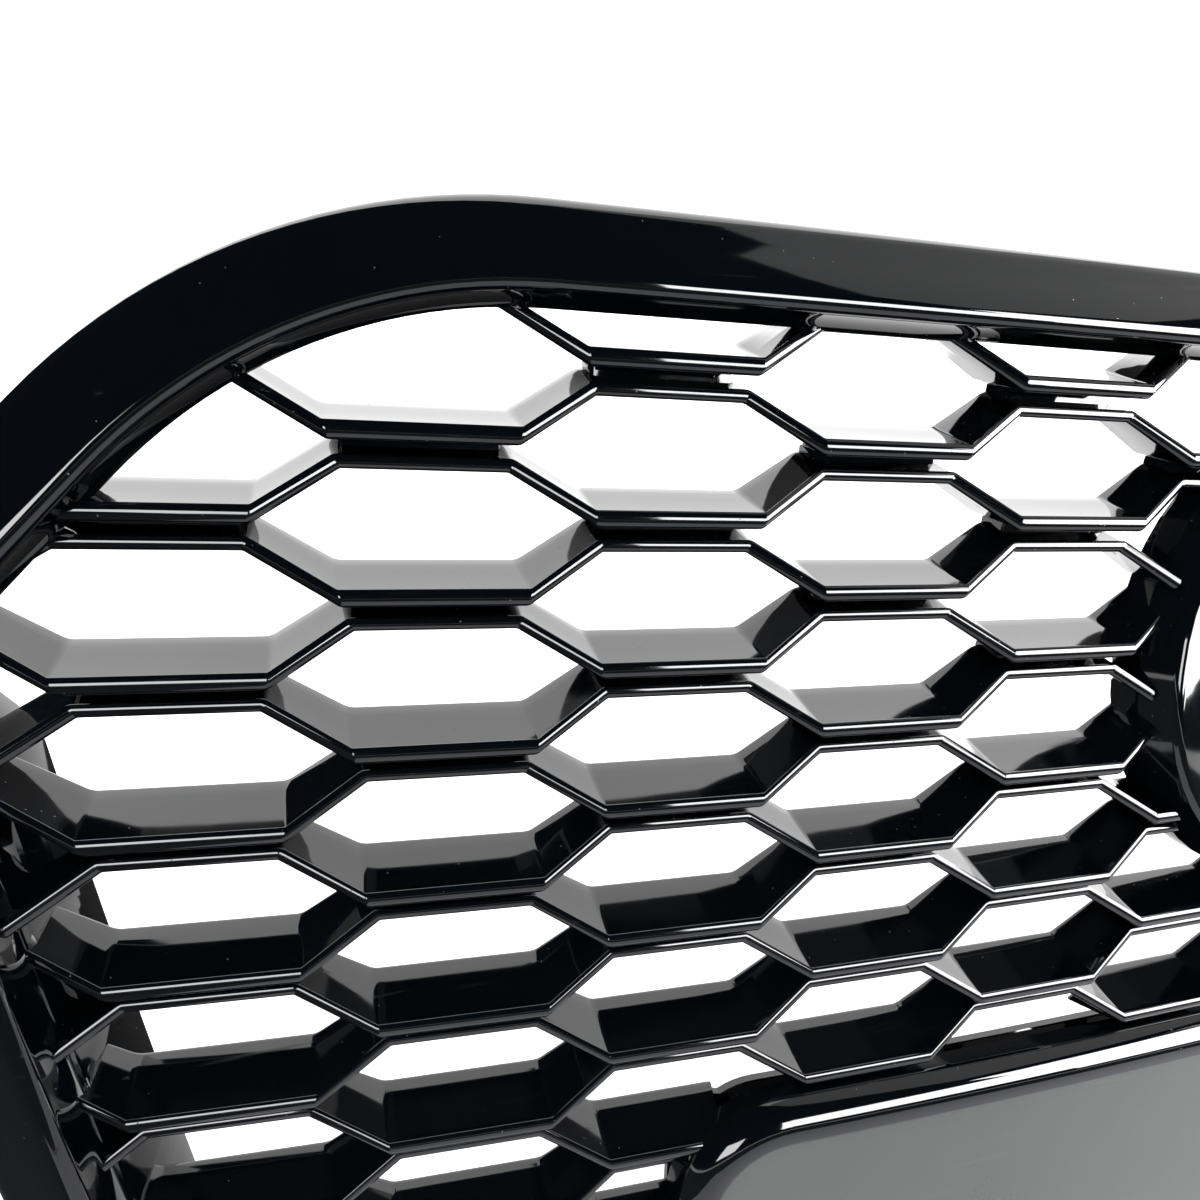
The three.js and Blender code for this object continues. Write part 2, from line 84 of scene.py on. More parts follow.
BEAD_DEPTH, BEAD_TOP = 0.78, 67              # bead section: depth share and last angle of its ellipse
BEAD_STEPS = 16
WEB_RECESS = 5.5                             # a web starts this far behind the surface
CORNER_FRONT, CORNER_GROWTH = 2.0, 0.27      # corner radius at the bead, and its growth with depth
CORNER_SHARE = 0.55                          # how much of its offset a line adds to its corner radius
CORNER_LEAST = 0.35                          # smallest corner radius
CORNER_STEPS = 4

OPENING_TOP, OPENING_BOTTOM = 12.3, -300
OPENING = [(-341, OPENING_TOP, 120), (-411, -56, 30), (-376, OPENING_BOTTOM, 45)]   # left half
LATTICE_PAST = 1.6                           # the lattice ends this far outside the opening
RIM_FROM, RIM_TO = -45, -80                  # heights where the insert's rim turns from shallow to deep
RIM_SHALLOW = [(1.2, -0.3), (1.2, -1.2), (1.2, -1.7), (1.2, -2.1), (1.3, -4.2), (1.5, -4.8), (2.0, -5),
               (3.6, -5), (4.2, -4.3), (4.6, -3.4), (14.5, -3.4), (14.5, -0.4), (2.2, -0.4)]
RIM_DEEP = [(-0.2, -0.3), (-0.5, -1.2), (-0.6, -1.7), (-0.9, -2.1), (-5.0, -27.2), (-4.8, -27.8),
            (-4.3, -28), (-2.7, -28), (-2.0, -27.3), (2.6, -3.4), (14.5, -3.4), (14.5, -0.4), (0.4, -0.4)]
PLINTH_X, PLINTH_TOP, PLINTH_BOTTOM, PLINTH_R = 267, -169.5, -287, 30
PLINTH_FORWARD, PLINTH_LEAN, PLINTH_WALL, PLINTH_BACK = 7.2, 0.1, 8, 18
PLINTH_INSIDE, PLINTH_INSIDE_TOP = 12, 1     # the lattice is cut away this far inside its outline
PLINTH_STEP = 12                             # spacing of the sections of sheets that follow its curve
PLINTH_PANEL = 3.0                           # thickness of the recessed panel
BADGE_X, BADGE_Z, BADGE_HALF, BADGE_R = 131.7, -65, 62, 60
BADGE_FORWARD, BADGE_LEAN, BADGE_SEAT, BADGE_BACK = 5, 0.24, 2.4, 16
BADGE_INSIDE = 5                             # the lattice is cut away this far inside its outline
BADGE_STEP = 60
LANDING = 3.0                                # thickness of the insert's bands behind both
PLINTH_LANDING = -5, -9, -22                 # outward: outer edge, outer edge above, inner edge
BADGE_LANDING = -2, -2, -22
PLINTH_SCREW_SEAT, BADGE_SCREW_SEAT = 4.3, 4.8   # screw seats, behind PLINTH_BACK and BADGE_BACK

TAB_Y, TAB_Z = 45.0, OPENING_TOP + BAND      # origin of the row: the top of the upper centre tab
TABS = [(0, 30), (-150, 15), (150, 15), (-270, 15), (270, 15)]       # middle and half width
TAB_THICK, TAB_BACK, TAB_HOLE = 3, 16, 3.6
HOOKS = [-310, -110, 110, 310]
HOOK_HALF = 11
RIB_HALF = 0.9                               # half thickness of gussets and ribs
HEAD, SHANK, REACH, HEAD_TALL = 3.4, 1.5, 9.6, 2.4       # screws: radii, then lengths
CORE, THREAD_PITCH = 1.15, 1.0

# ---- points and paths -------------------------------------------------------------------------------


def surface_y(x, z):
    """The swept surface that the cells' and the surround's front follow."""
    return LEAN * z + SWEEP * x * x + NOSE * z * z


def plinth_y(x, z):
    """The plinth's panel."""
    top = surface_y(0, PLINTH_TOP) - PLINTH_FORWARD
    return top + PLINTH_LEAN * (z - PLINTH_TOP) + SWEEP * x * x


def badge_y(_, z):
    """The plane of the badge base's front edge."""
    return surface_y(0, BADGE_Z) - BADGE_FORWARD + BADGE_LEAN * (z - BADGE_Z)


def place(x, y, z):
    """A point of the grille's surface frame in the row's frame, in metres."""
    return Vector((x * MM, (y - TAB_Y) * MM, (z - TAB_Z) * MM))


def corner_arc(before, corner, after, radius, steps):
    """Points of an arc that rounds a corner between two straight runs."""
    a = (before - corner).normalized()
    b = (after - corner).normalized()
    half = math.acos(max(-1, min(1, a.dot(b)))) / 2
    if half > math.radians(89.5):
        return [corner] * (steps + 1)
    centre = corner + (a + b).normalized() * (radius / math.sin(half))
    spoke = corner + a * (radius / math.tan(half)) - centre
    turn = math.copysign(math.pi - 2 * half, b.cross(a))
    points = []
    for k in range(steps + 1):
        points.append(centre + Matrix.Rotation(turn * k / steps, 2) @ spoke)
    return points


def rounded_path(corners, steps=20, longest=9):
    """Closed path through (x, z, radius) corners, its straight runs cut no longer than longest."""
    points = []
    count = len(corners)
    for i, (x, z, radius) in enumerate(corners):
        before = Vector(corners[i - 1][:2])
        after = Vector(corners[(i + 1) % count][:2])
        points += corner_arc(before, Vector((x, z)), after, radius, steps)
    path = []
    for i, p in enumerate(points):
        q = points[(i + 1) % len(points)]
        parts = max(1, math.ceil((q - p).length / longest))
        path += [p.lerp(q, k / parts) for k in range(parts)]
    area = sum(p.cross(path[(i + 1) % len(path)]) for i, p in enumerate(path))
    return path if area > 0 else path[::-1]


def outward(path):
    """Unit outward direction at each point of a counter-clockwise path, lengthened at its corners."""
    directions = []
    for i, p in enumerate(path):
        before = (p - path[i - 1]).normalized()
        after = (path[(i + 1) % len(path)] - p).normalized()
        total = (before + after).normalized()
        directions.append(Vector((total.y, -total.x)) / max(total.dot(after), 0.3))
    return directions


def offset(path, distance):
    """The path moved outward by the distance."""
    return [p + d * distance for p, d in zip(path, outward(path))]


def opening_path(steps=20, longest=9):
    right = [(-x, z, r) for x, z, r in reversed(OPENING)]
    return rounded_path(OPENING + right, steps, longest)


def rectangle_path(half, bottom, top, radius, steps=12, longest=9):
    corners = [(-half, bottom, radius), (half, bottom, radius), (half, top, radius), (-half, top, radius)]
    return rounded_path(corners, steps, longest)


# ---- meshes -----------------------------------------------------------------------------------------


def linked(name, data):
    """A new object in the scene."""
    thing = bpy.data.objects.new(name, data)
    bpy.context.scene.collection.objects.link(thing)
    return thing


def object_from(name, points, faces):
    """An object from points and faces, its doubled points merged and its faces turned outward."""
    mesh = bpy.data.meshes.new(name)
    mesh.from_pydata(points, [], faces)
    work = bmesh.new()
    work.from_mesh(mesh)
    bmesh.ops.remove_doubles(work, verts=work.verts, dist=1e-7)
    bmesh.ops.recalc_face_normals(work, faces=work.faces)
    work.to_mesh(mesh)
    work.free()
    return linked(name, mesh)


def loft(name, rings, closed=False):
    """A solid through rings of equal length; closed joins the last ring to the first."""
    count = len(rings[0])
    faces = []
    for i in range(len(rings) if closed else len(rings) - 1):
        a, b = i * count, (i + 1) % len(rings) * count
        for k in range(count):
            n = (k + 1) % count
            faces.append((a + k, b + k, b + n, a + n))
    if not closed:
        faces.append(tuple(range(count)))
        faces.append(tuple(range((len(rings) - 1) * count, len(rings) * count)))
    return object_from(name, [p for ring in rings for p in ring], faces)


def band(name, path, profile, height):
    """A profile of (outward, forward) points, or one for each place, carried round a closed path."""
    rings = []
    for p, d in zip(path, outward(path)):
        ring = []
        for out, forward in (profile(p) if callable(profile) else profile):
            q = p + d * out
            ring.append(place(q.x, height(q.x, q.y) - forward, q.y))
        rings.append(ring)
    return loft(name, rings, closed=True)


def prism(path):
    """A cutter that carries a path right through the part."""
    return loft("cut", [[place(p.x, y, p.y) for p in path] for y in (-THROUGH, THROUGH)])


def combine(target, other, operation):
    """Boolean that changes target's mesh and removes other."""
    modifier = target.modifiers.new("cut", "BOOLEAN")
    modifier.operation = operation
    modifier.object = other
    modifier.solver = "MANIFOLD"
    graph = bpy.context.evaluated_depsgraph_get()
    mesh = bpy.data.meshes.new_from_object(target.evaluated_get(graph))
    target.modifiers.clear()
    old = target.data
    target.data = mesh
    bpy.data.meshes.remove(old)
    bpy.data.objects.remove(other)
    return target


def merged(name, things):
    """One mesh holding separate closed bodies that don't overlap."""
    work = bmesh.new()
    for thing in things:
        work.from_mesh(thing.data)
        bpy.data.objects.remove(thing)
    mesh = bpy.data.meshes.new(name)
    work.to_mesh(mesh)
    work.free()
    return linked(name, mesh)


def smooth(thing, angle=32):
    """Smooth shading that keeps edges sharper than the angle."""
    work = bmesh.new()
    work.from_mesh(thing.data)
    limit = math.radians(angle)
    for face in work.faces:
        face.smooth = True
    for edge in work.edges:
        edge.smooth = len(edge.link_faces) == 2 and edge.calc_face_angle(0) < limit
    work.to_mesh(thing.data)
    work.free()
    return thing


def finish_piece(thing, material, slot, *nodes):
    """Give a piece its material, hang it under the root body and hide the CAD nodes it stands in for."""
    thing.data.materials.clear()
    thing.data.materials.append(material)
    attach(thing, "root")
    if nodes:
        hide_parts(*nodes)
    return thing


# ---- honeycomb insert -------------------------------------------------------------------------------


def is_even(column):
    return column % 2 == 0


def cell_z(column, row):
    """Height of a cell's centre."""
    return -(row - 1 if is_even(column) else row - 0.5) * ROW_PITCH + ROW_PITCH


def strip_corners(row, lower_on_even):
    """Corners (point, share) of one strip; share is 1 where it is a cell's lower flat, 0 on an upper."""
    corners = []
    for column in range(-HALF_COLUMNS - 1, HALF_COLUMNS + 2):
        lower = is_even(column) == lower_on_even
        next_row = row if lower_on_even else row + 1
        if lower:
            z = cell_z(column, row) - CELL_HALF
        else:
            z = cell_z(column, next_row) + CELL_HALF
        half = (LOWER_FLAT if lower else UPPER_FLAT) / 2
        up = STRIP_UP if lower else STRIP_UP * 0.6
        for x in (column * COLUMN_PITCH - half, column * COLUMN_PITCH + half):
            corners.append((Vector((x, z + up)), 1.0 if lower else 0.0))
    return corners


def bead_points():
    """Front of a strip's section as (up, depth), 1 high: part of an ellipse and a tight turn behind."""
    points = []
    for k in range(BEAD_STEPS + 1):
        a = math.radians(-90 + (BEAD_TOP + 90) * k / BEAD_STEPS)
        points.append((math.sin(a), BEAD_DEPTH * (1 - math.cos(a))))
    up, depth = points[-1]
    points += [(up + 0.02, depth + 0.06), (up, depth + 0.14), (up - 0.08, depth + 0.19)]
    tall = 1 + points[BEAD_STEPS + 1][0]
    return [((1 + up) / tall, depth / tall) for up, depth in points]


def strip_profile(half):
    """Closed section of a strip with a bead of this half height: (up, depth) points."""
    points = [(2 * half * up - half, 2 * half * depth) for up, depth in bead_points()]
    wall = half - 0.3
    step = points[-1][1]
    points += [(wall, step + 0.05), (wall, step + 0.6)]
    back = wall + 0.75
    for k in range(1, 4):
        points.append((wall + (back - wall) * k / 4, 3.6 + (STRIP_DEPTH - 5.1) * k / 4))
    for k in range(0, 6):
        a = math.radians(18 * k)
        points.append((back - 1.3 + 1.3 * math.cos(a), STRIP_DEPTH - 1.3 + 1.3 * math.sin(a)))
    for k in range(0, 4):
        a = math.radians(30 * k)
        points.append((-back + 0.9 - 0.9 * math.sin(a), STRIP_DEPTH - 0.9 + 0.9 * math.cos(a)))
    return points + [(-wall, 2.6), (-wall, points[0][1] + 0.25)]


def strip(row, lower_on_even):
    """One strip across the insert: its section is carried along flats and slants with rounded corners."""
    corners = strip_corners(row, lower_on_even)
    count = len(corners)
    steps = []
    for (p, _), (q, _) in zip(corners, corners[1:]):
        along = (q - p).normalized()
        steps.append((along, Vector((-along.y, along.x))))
    halves = []
    for (p, share), (q, other) in zip(corners, corners[1:]):
        halves.append(SLANT_BEAD if share != other else LOWER_BEAD if share else UPPER_BEAD)
    sections = {half: strip_profile(half) for half in (LOWER_BEAD, UPPER_BEAD, SLANT_BEAD)}

    def rounded(ups, radius):
        """The strip's line with each run moved up by its own amount, and its corners rounded."""
        line = [corners[0][0] + steps[0][1] * ups[0]]
        for i in range(1, count - 1):
            (before, normal), (_, turned) = steps[i - 1], steps[i]
            slide = (ups[i] - ups[i - 1] * normal.dot(turned)) / before.dot(turned)
            line.append(corners[i][0] + normal * ups[i - 1] + before * slide)
        line.append(corners[-1][0] + steps[-1][1] * ups[-1])
        points = [line[0]]
        for i in range(1, count - 1):
            turn = steps[i - 1][0].cross(steps[i][0])
            own = radius - math.copysign(ups[i], turn * ups[i]) * CORNER_SHARE
            points += corner_arc(line[i - 1], line[i], line[i + 1], max(own, CORNER_LEAST),
                                     CORNER_STEPS)
        return points + [line[-1]]

    rows = []
    for k, (_, depth) in enumerate(sections[SLANT_BEAD]):
        radius = CORNER_FRONT + CORNER_GROWTH * depth
        edge = rounded([sections[half][k][0] for half in halves], radius)
        row_points = []
        for point, centre in zip(edge, rounded([0.0] * (count - 1), radius)):
            lift = LOWER_LIFT * lower_share(centre.x, lower_on_even)
            forward = lift + (LOWER_LIFT / 2 - lift) * depth / STRIP_DEPTH
            y = surface_y(centre.x, centre.y) + depth - forward
            row_points.append(place(point.x, y, point.y + STRIP_RISE * depth / STRIP_DEPTH))
        rows.append(row_points)
    return loft("strip", [list(ring) for ring in zip(*rows)])


def lower_share(x, lower_on_even):
    """1 over a lower flat, 0 over an upper flat, in between on the slants."""
    column = math.floor(x / COLUMN_PITCH)
    along = x - column * COLUMN_PITCH
    left_lower = is_even(column) == lower_on_even
    left_half = (LOWER_FLAT if left_lower else UPPER_FLAT) / 2
    right_half = (UPPER_FLAT if left_lower else LOWER_FLAT) / 2
    t = (along - left_half) / (COLUMN_PITCH - left_half - right_half)
    t = max(0.0, min(1.0, t))
    return 1 - t if left_lower else t


def web(column, row):
    """The recessed web that joins two strips along a flat."""
    x = column * COLUMN_PITCH
    top = cell_z(column, row) - CELL_HALF + STRIP_UP
    bottom = top - GROOVE - 0.4
    half = UPPER_FLAT / 2 - 1
    rings = []
    for step, inset in ((-half, 0.9), (-half + 0.3, 0.3), (-half + 0.9, 0), (half - 0.9, 0),
                        (half - 0.3, 0.3), (half, 0.9)):
        y = surface_y(x + step, top - GROOVE / 2)
        front, back = y + WEB_RECESS + inset, y + STRIP_DEPTH - LOWER_LIFT / 2 - 0.2
        rise = STRIP_RISE * WEB_RECESS / STRIP_DEPTH
        rings.append([place(x + step, front, bottom + rise), place(x + step, front, top + rise),
                      place(x + step, back, top + STRIP_RISE), place(x + step, back, bottom + STRIP_RISE)])
    return loft("web", rings)


def rim_profile(p):
    """Section of the insert's rim: hidden behind the opening's edge above, a deep wall below."""
    share = max(0.0, min(1.0, (RIM_FROM - p.y) / (RIM_FROM - RIM_TO)))
    share = share * share * (3 - 2 * share)
    return [Vector(high).lerp(Vector(low), share) for high, low in zip(RIM_SHALLOW, RIM_DEEP)]


def blind_floor(column, row):
    """The floor of a cell that stays blind beside the surround."""
    x, z = column * COLUMN_PITCH, cell_z(column, row) + STRIP_UP + 1.5
    far, half = COLUMN_PITCH - UPPER_FLAT / 2, UPPER_FLAT / 2 + 1
    tall = CELL_HALF + 1
    cell = [(-far, 0), (-half, -tall), (half, -tall), (far, 0), (half, tall), (-half, tall)]
    rings = []
    for depth in BLIND_DEPTHS:
        rings.append([place(x + dx, surface_y(x + dx, z + dz) + depth, z + dz) for dx, dz in cell])
    return loft("floor", rings)


def honeycomb():
    """The strips, webs and blind floors, cut to the opening and around the plinth and the badge."""
    strips = [strip(row, lower_on_even) for row in range(1, ROWS + 1) for lower_on_even in (True, False)]
    lattice = merged("honeycomb", strips)
    webs = []
    for row in range(1, ROWS + 1):
        for column in range(-HALF_COLUMNS, HALF_COLUMNS + 1):
            webs.append(web(column, row))
    combine(lattice, merged("webs", webs), "UNION")
    floors = [blind_floor(c, r) for c in (-HALF_COLUMNS, HALF_COLUMNS) for r in BLIND_ROWS]
    combine(lattice, merged("floors", floors), "UNION")
    combine(lattice, prism(offset(opening, LATTICE_PAST)), "INTERSECT")
    inside = rectangle_path(PLINTH_X - PLINTH_INSIDE, PLINTH_BOTTOM + PLINTH_INSIDE,
                            PLINTH_TOP - PLINTH_INSIDE_TOP, PLINTH_R - PLINTH_INSIDE)
    make_room(lattice, plinth_outline, plinth_y, PLINTH_WALL, inside, PLINTH_STEP)
    inside = offset(badge_outline, -BADGE_INSIDE)
    make_room(lattice, badge_outline, badge_y, BADGE_BACK, inside, BADGE_STEP)
    return lattice


def make_room(lattice, path, height, depth, inside, step):
    """Cut the lattice back to a piece's walls, down to their depth, and out of the piece's inside."""
    room = sheet_solid("cut", offset(path, -1.0), height, 60, depth + 0.4, step)
    combine(lattice, room, "DIFFERENCE")
    combine(lattice, prism(inside), "DIFFERENCE")


def landing(path, depth, height, edge, above, inside):
    """The insert's flat band behind the plinth or the badge base."""
    front = -depth - GAP
    back = front - LANDING
    top = max(p.y for p in path)

    def section(p):
        outer = above if p.y > top - 6 else edge
        return [(outer, front - 0.4), (outer, back + 0.6), (outer - 0.6, back), (inside + 0.6, back),
                (inside, back + 0.6), (inside, front - 0.4), (inside + 0.4, front), (outer - 0.4, front)]
    return band("landing", path, section, height)


def pad(x, z, radius, front, back):
    """A round pad or boss along Y with a chamfered end."""
    return lathe("pad", [(0, 0), (radius, 0), (radius, back - front - 0.4), (radius - 0.4, back - front),
                         (0, back - front)], place(x, front, z), 24)


def lathe(name, profile, base, sides=32):
    """A round solid about an axis along +Y, from (radius, along) points that start and end on the axis."""
    rings = []
    for k in range(sides):
        a = 2 * math.pi * k / sides
        rings.append([base + Vector((r * math.cos(a), y, r * math.sin(a))) * MM for r, y in profile])
    return loft(name, rings, closed=True)


def honeycomb_insert():
    """The whole insert: lattice, rim, landing bands and screw pads."""
    body = honeycomb()
    combine(body, band("rim", opening, rim_profile, surface_y), "UNION")
    combine(body, landing(plinth_outline, PLINTH_BACK, plinth_y, *PLINTH_LANDING), "UNION")
    combine(body, landing(badge_outline, BADGE_BACK, badge_y, *BADGE_LANDING), "UNION")
    pads = []
    for x, z in node_places("insert_screw"):
        pads.append(pad(x, z, 4.6, surface_y(x, z) + 1.6, surface_y(x, z) + 5.6))
    for x, z in node_places("plinth_screw"):
        seat = plinth_y(x, z) + PLINTH_BACK + PLINTH_SCREW_SEAT
        pads.append(pad(x, z, 5, seat - 3, seat))
    for x, z in node_places("badge_screw"):
        seat = badge_y(x, z) + BADGE_BACK + BADGE_SCREW_SEAT
        pads.append(pad(x, z, 5, seat - 3, seat))
    combine(body, merged("pads", pads), "UNION")
    body.name = body.data.name = "insert_body"
    return smooth(body)


def node_places(start):
    """Centres (x, z) on the grille's surface of the CAD nodes whose names start like this."""
    places = []
    for name in sorted(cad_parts):
        if name.startswith(start):
            low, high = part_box(name)
            places.append(((low[0] + high[0]) / 2 / MM, (low[2] + high[2]) / 2 / MM + TAB_Z))
    return places


# ---- surround frame ---------------------------------------------------------------------------------


def arc(cx, cy, radius, start, end, steps):
    """Points of an arc between two angles in degrees."""
    points = []
    for k in range(steps + 1):
        a = math.radians(start + (end - start) * k / steps)
        points.append((cx + radius * math.cos(a), cy + radius * math.sin(a)))
    return points


def frame_profile():
    """The surround's section: inner wall, crest, sloping face, outer return and underside."""
    points = [(0.1, -0.3), (0.0, 0.0), (0.4, 0.5), (2.5, 6.6)]
    points += arc(5.4, 6.9, 3.2, 165, 78, 9)
    points += [(8.5, 9.55), (11.5, 8.75), (14.2, 7.9)]
    points += arc(15.6, 3.9, 3.7, 72, 0, 9)
    points += [(BAND, -8), (BAND, -15.4), (BAND - 0.5, -16), (BAND - 2.3, -16), (BAND - 2.8, -15.4)]
    points += [(BAND - 2.8, 1.5), (14.5, 4.2), (8.5, 6.7), (6, 6.2), (4.4, 4.5), (3.0, -0.3)]
    return points


def plate(outline, low, high, bevel):
    """A flat plate from a closed outline of (x, y) points, its edges bevelled."""
    levels = ((low, bevel), (low + bevel, 0), (high - bevel, 0), (high, bevel))
    return loft("tab", [[place(p.x, p.y, z) for p in offset(outline, -inset)] for z, inset in levels])


def post(x, y, radius, low, high, sides=32):
    """A round cutter along Z."""
    ring = [Vector((x + radius * math.cos(2 * math.pi * k / sides),
                    y + radius * math.sin(2 * math.pi * k / sides))) for k in range(sides)]
    return loft("hole", [[place(p.x, p.y, z) for p in ring] for z in (low, high)])


def rib(x, half, outline):
    """A thin upright rib across X from an outline of (y, z) points."""
    return loft("rib", [[place(x + dx, y, z) for y, z in outline] for dx in (-half, half)])


def top_tab(x, half):
    """A fixing tab behind the surround's top edge; the wide centre one has two holes."""
    front, back = surface_y(x, TAB_Z) + 3.5, TAB_Y + TAB_BACK
    outline = rounded_path([(x - half, front, 0.5), (x + half, front, 0.5), (x + half, back, 4),
                            (x - half, back, 4)], 6, 60)
    body = plate(outline, TAB_Z - TAB_THICK, TAB_Z, 0.35)
    wide = half > 20
    for at in ([x - 18, x + 18] if wide else [x]):
        hole = post(at, TAB_Y + 2, TAB_HOLE, TAB_Z - TAB_THICK - 1, TAB_Z + 1)
        combine(body, hole, "DIFFERENCE")
    gusset = [(front, TAB_Z - 2.5), (front + 15, TAB_Z - 2.5), (front + 15, TAB_Z - 3.6),
              (front, TAB_Z - 12)]
    for at in ([x - 24, x, x + 24] if wide else [x - 11, x + 11]):
        combine(body, rib(at, RIB_HALF, gusset), "UNION")
    return body


def bottom_hook(x):
    """A hook under the surround's bottom edge, with two gussets."""
    z = OPENING_BOTTOM - BAND
    y = surface_y(x, z)
    arm = [(y + 4, z), (y + 24, z), (y + 27.5, z - 1.2), (y + 29, z - 4), (y + 29.2, z - 9),
           (y + 31.2, z - 9), (y + 32, z - 4), (y + 32, z + 2.2), (y + 31.2, z + 3), (y + 4, z + 3)]
    gusset = [(y + 8, z + 2), (y + 26, z + 2), (y + 26, z + 3.6), (y + 8, z + 9)]
    body = rib(x, HOOK_HALF, arm)
    for at in (x - 7, x + 7):
        combine(body, rib(at, RIB_HALF, gusset), "UNION")
    return body


def cross_ribs():
    """Thin ribs that brace the surround's face to its outer return, all round it."""
    ribs = []
    section = [(4.2, 3.6), (8.5, 7.6), (14.6, 5), (17, 2.2), (17, -9), (11, -1.2), (6, 0.6)]
    path = opening_path(12, 46)
    for p, d in zip(path, outward(path)):
        along = Vector((-d.y, d.x)).normalized() * 0.8
        rings = []
        for side in (-1, 1):
            ring = []
            for out, forward in section:
                q = p + d * out + along * side
                ring.append(place(q.x, surface_y(q.x, q.y) - forward, q.y))
            rings.append(ring)
        ribs.append(loft("rib", rings))
    return merged("ribs", ribs)


def surround():
    """The surround frame with its ribs, tabs, hooks and screw bosses."""
    body = band("surround_body", opening, frame_profile(), surface_y)
    combine(body, cross_ribs(), "UNION")
    for x, half in TABS:
        combine(body, top_tab(x, half), "UNION")
    for x in HOOKS:
        combine(body, bottom_hook(x), "UNION")
    bosses = []
    for x, z in node_places("insert_screw"):
        bosses.append(pad(x, z, 3.3, surface_y(x, z) - 6.8, surface_y(x, z) + 1.3))
    combine(body, merged("bosses", bosses), "UNION")
    return smooth(body)


# ---- plinth and badge -------------------------------------------------------------------------------


def sheet_solid(name, path, height, front, back, step):
    """A sheet of even thickness that follows a surface, cut to a path."""
    half = max(p.x for p in path) + 1
    low, high = min(p.y for p in path) - 1, max(p.y for p in path) + 1
    columns = max(2, round(2 * half / step))
    rings = []
    for k in range(columns + 1):
        x = -half + 2 * half * k / columns
        rings.append([place(x, height(x, low) - front, low), place(x, height(x, high) - front, high),
                      place(x, height(x, high) + back, high), place(x, height(x, low) + back, low)])
    return combine(loft(name, rings), prism(path), "INTERSECT")


def plinth():
    """The number plate plinth: wall, rounded lip, recessed panel, bosses and rear ribs."""
    profile = [(0, -PLINTH_WALL), (0, -5.5)]
    profile += arc(-7.4, -4.4, 7.4, 4, 90, 14)
    profile += arc(-8.9, 1.4, 1.6, 88, 160, 6)
    profile += arc(-12.6, 2.4, 2.4, -15, -90, 6)
    profile += [(-13.4, 0.05), (-13.4, -PLINTH_PANEL), (-3, -PLINTH_PANEL), (-3, -PLINTH_WALL)]
    body = band("plinth_body", plinth_outline, profile, plinth_y)
    edge = offset(plinth_outline, -12.9)
    combine(body, sheet_solid("panel", edge, plinth_y, -0.05, PLINTH_PANEL, PLINTH_STEP), "UNION")
    bosses = []
    for x, z in node_places("plinth_screw"):
        bosses.append(pad(x, z, 4, plinth_y(x, z) + 1.5, plinth_y(x, z) + PLINTH_BACK - 1))
    combine(body, merged("bosses", bosses), "UNION")
    ribs = []
    for k in range(-4, 5):
        x = k * 52
        top, bottom = plinth_y(x, PLINTH_TOP), plinth_y(x, PLINTH_BOTTOM)
        outline = [(top + 2, PLINTH_TOP - 2), (top + 7, PLINTH_TOP - 2), (top + 6, PLINTH_TOP - 12),
                   (bottom + 6, PLINTH_BOTTOM + 12), (bottom + 7, PLINTH_BOTTOM + 2),
                   (bottom + 2, PLINTH_BOTTOM + 2)]
        ribs.append(rib(x, RIB_HALF, outline))
    combine(body, merged("ribs", ribs), "UNION")
    return smooth(body)


def paint_panel(body, material):
    """Give the plinth's recessed face its own material: the faces inside its lip that look forward."""
    body.data.materials.append(material)
    for face in body.data.polygons:
        c = face.center / MM
        x, y, z = c.x, c.y + TAB_Y, c.z + TAB_Z
        inside = abs(x) < PLINTH_X - 10 and PLINTH_BOTTOM + 10 < z < PLINTH_TOP - 10
        if inside and face.normal.y < -0.9 and abs(y - plinth_y(x, z)) < 0.25:
            face.material_index = 1


def badge():
    """The badge base: steep flank, narrow rounded edge and recessed seat."""
    profile = [(0, -BADGE_BACK), (0, -9.4), (-0.3, -8.4), (-4.2, -2.0)]
    profile += arc(-6.7, -2.6, 2.6, 20, 90, 6)
    profile += [(-14.4, 0.0)] + arc(-14.4, -1.6, 1.6, 90, 180, 5)
    profile += [(-16, -5.4), (-9.5, -5.4), (-3, -10.5), (-3, -BADGE_BACK)]
    body = band("badge_body", badge_outline, profile, badge_y)
    edge = offset(badge_outline, -15)
    combine(body, sheet_solid("seat", edge, badge_y, -BADGE_SEAT, BADGE_SEAT + 3, BADGE_STEP), "UNION")
    bosses = []
    for x, z in node_places("badge_screw"):
        bosses.append(pad(x, z, 4, badge_y(x, z) + 4, badge_y(x, z) + BADGE_BACK - 1.5))
    combine(body, merged("bosses", bosses), "UNION")
    return smooth(body)


def badge_cover():
    """A plain crowned cover: rings that shrink and rise from the seat to the middle."""
    base = offset(badge_outline, -16 - GAP)
    shoulder, shoulder_rise, crown = 0.965, 1.2, 1.5
    steps = [(1.0, -BADGE_SEAT + GAP), (1.0, 0.0), (0.995, 0.5), (0.985, 0.9), (shoulder, shoulder_rise)]
    for k in range(1, 9):
        share = shoulder * (1 - k / 9)
        steps.append((share, shoulder_rise + crown * (1 - (share / shoulder) ** 2)))
    rings = []
    for share, forward in steps:
        ring = []
        for p in base:
            x, z = p.x * share, BADGE_Z + (p.y - BADGE_Z) * share
            ring.append(place(x, badge_y(x, z) - forward, z))
        rings.append(ring)
    return smooth(loft("badge_cover", rings))


# ---- screws -----------------------------------------------------------------------------------------


def star(radius, low, high, sides=48):
    """The cutter of a screw head's six-lobed recess."""
    rings = []
    for y in (low, high):
        ring = []
        for k in range(sides):
            a = 2 * math.pi * k / sides
            r = radius * (1 + 0.16 * math.cos(6 * a))
            ring.append(Vector((r * math.cos(a), y, r * math.sin(a))) * MM)
        rings.append(ring)
    return loft("star", rings)


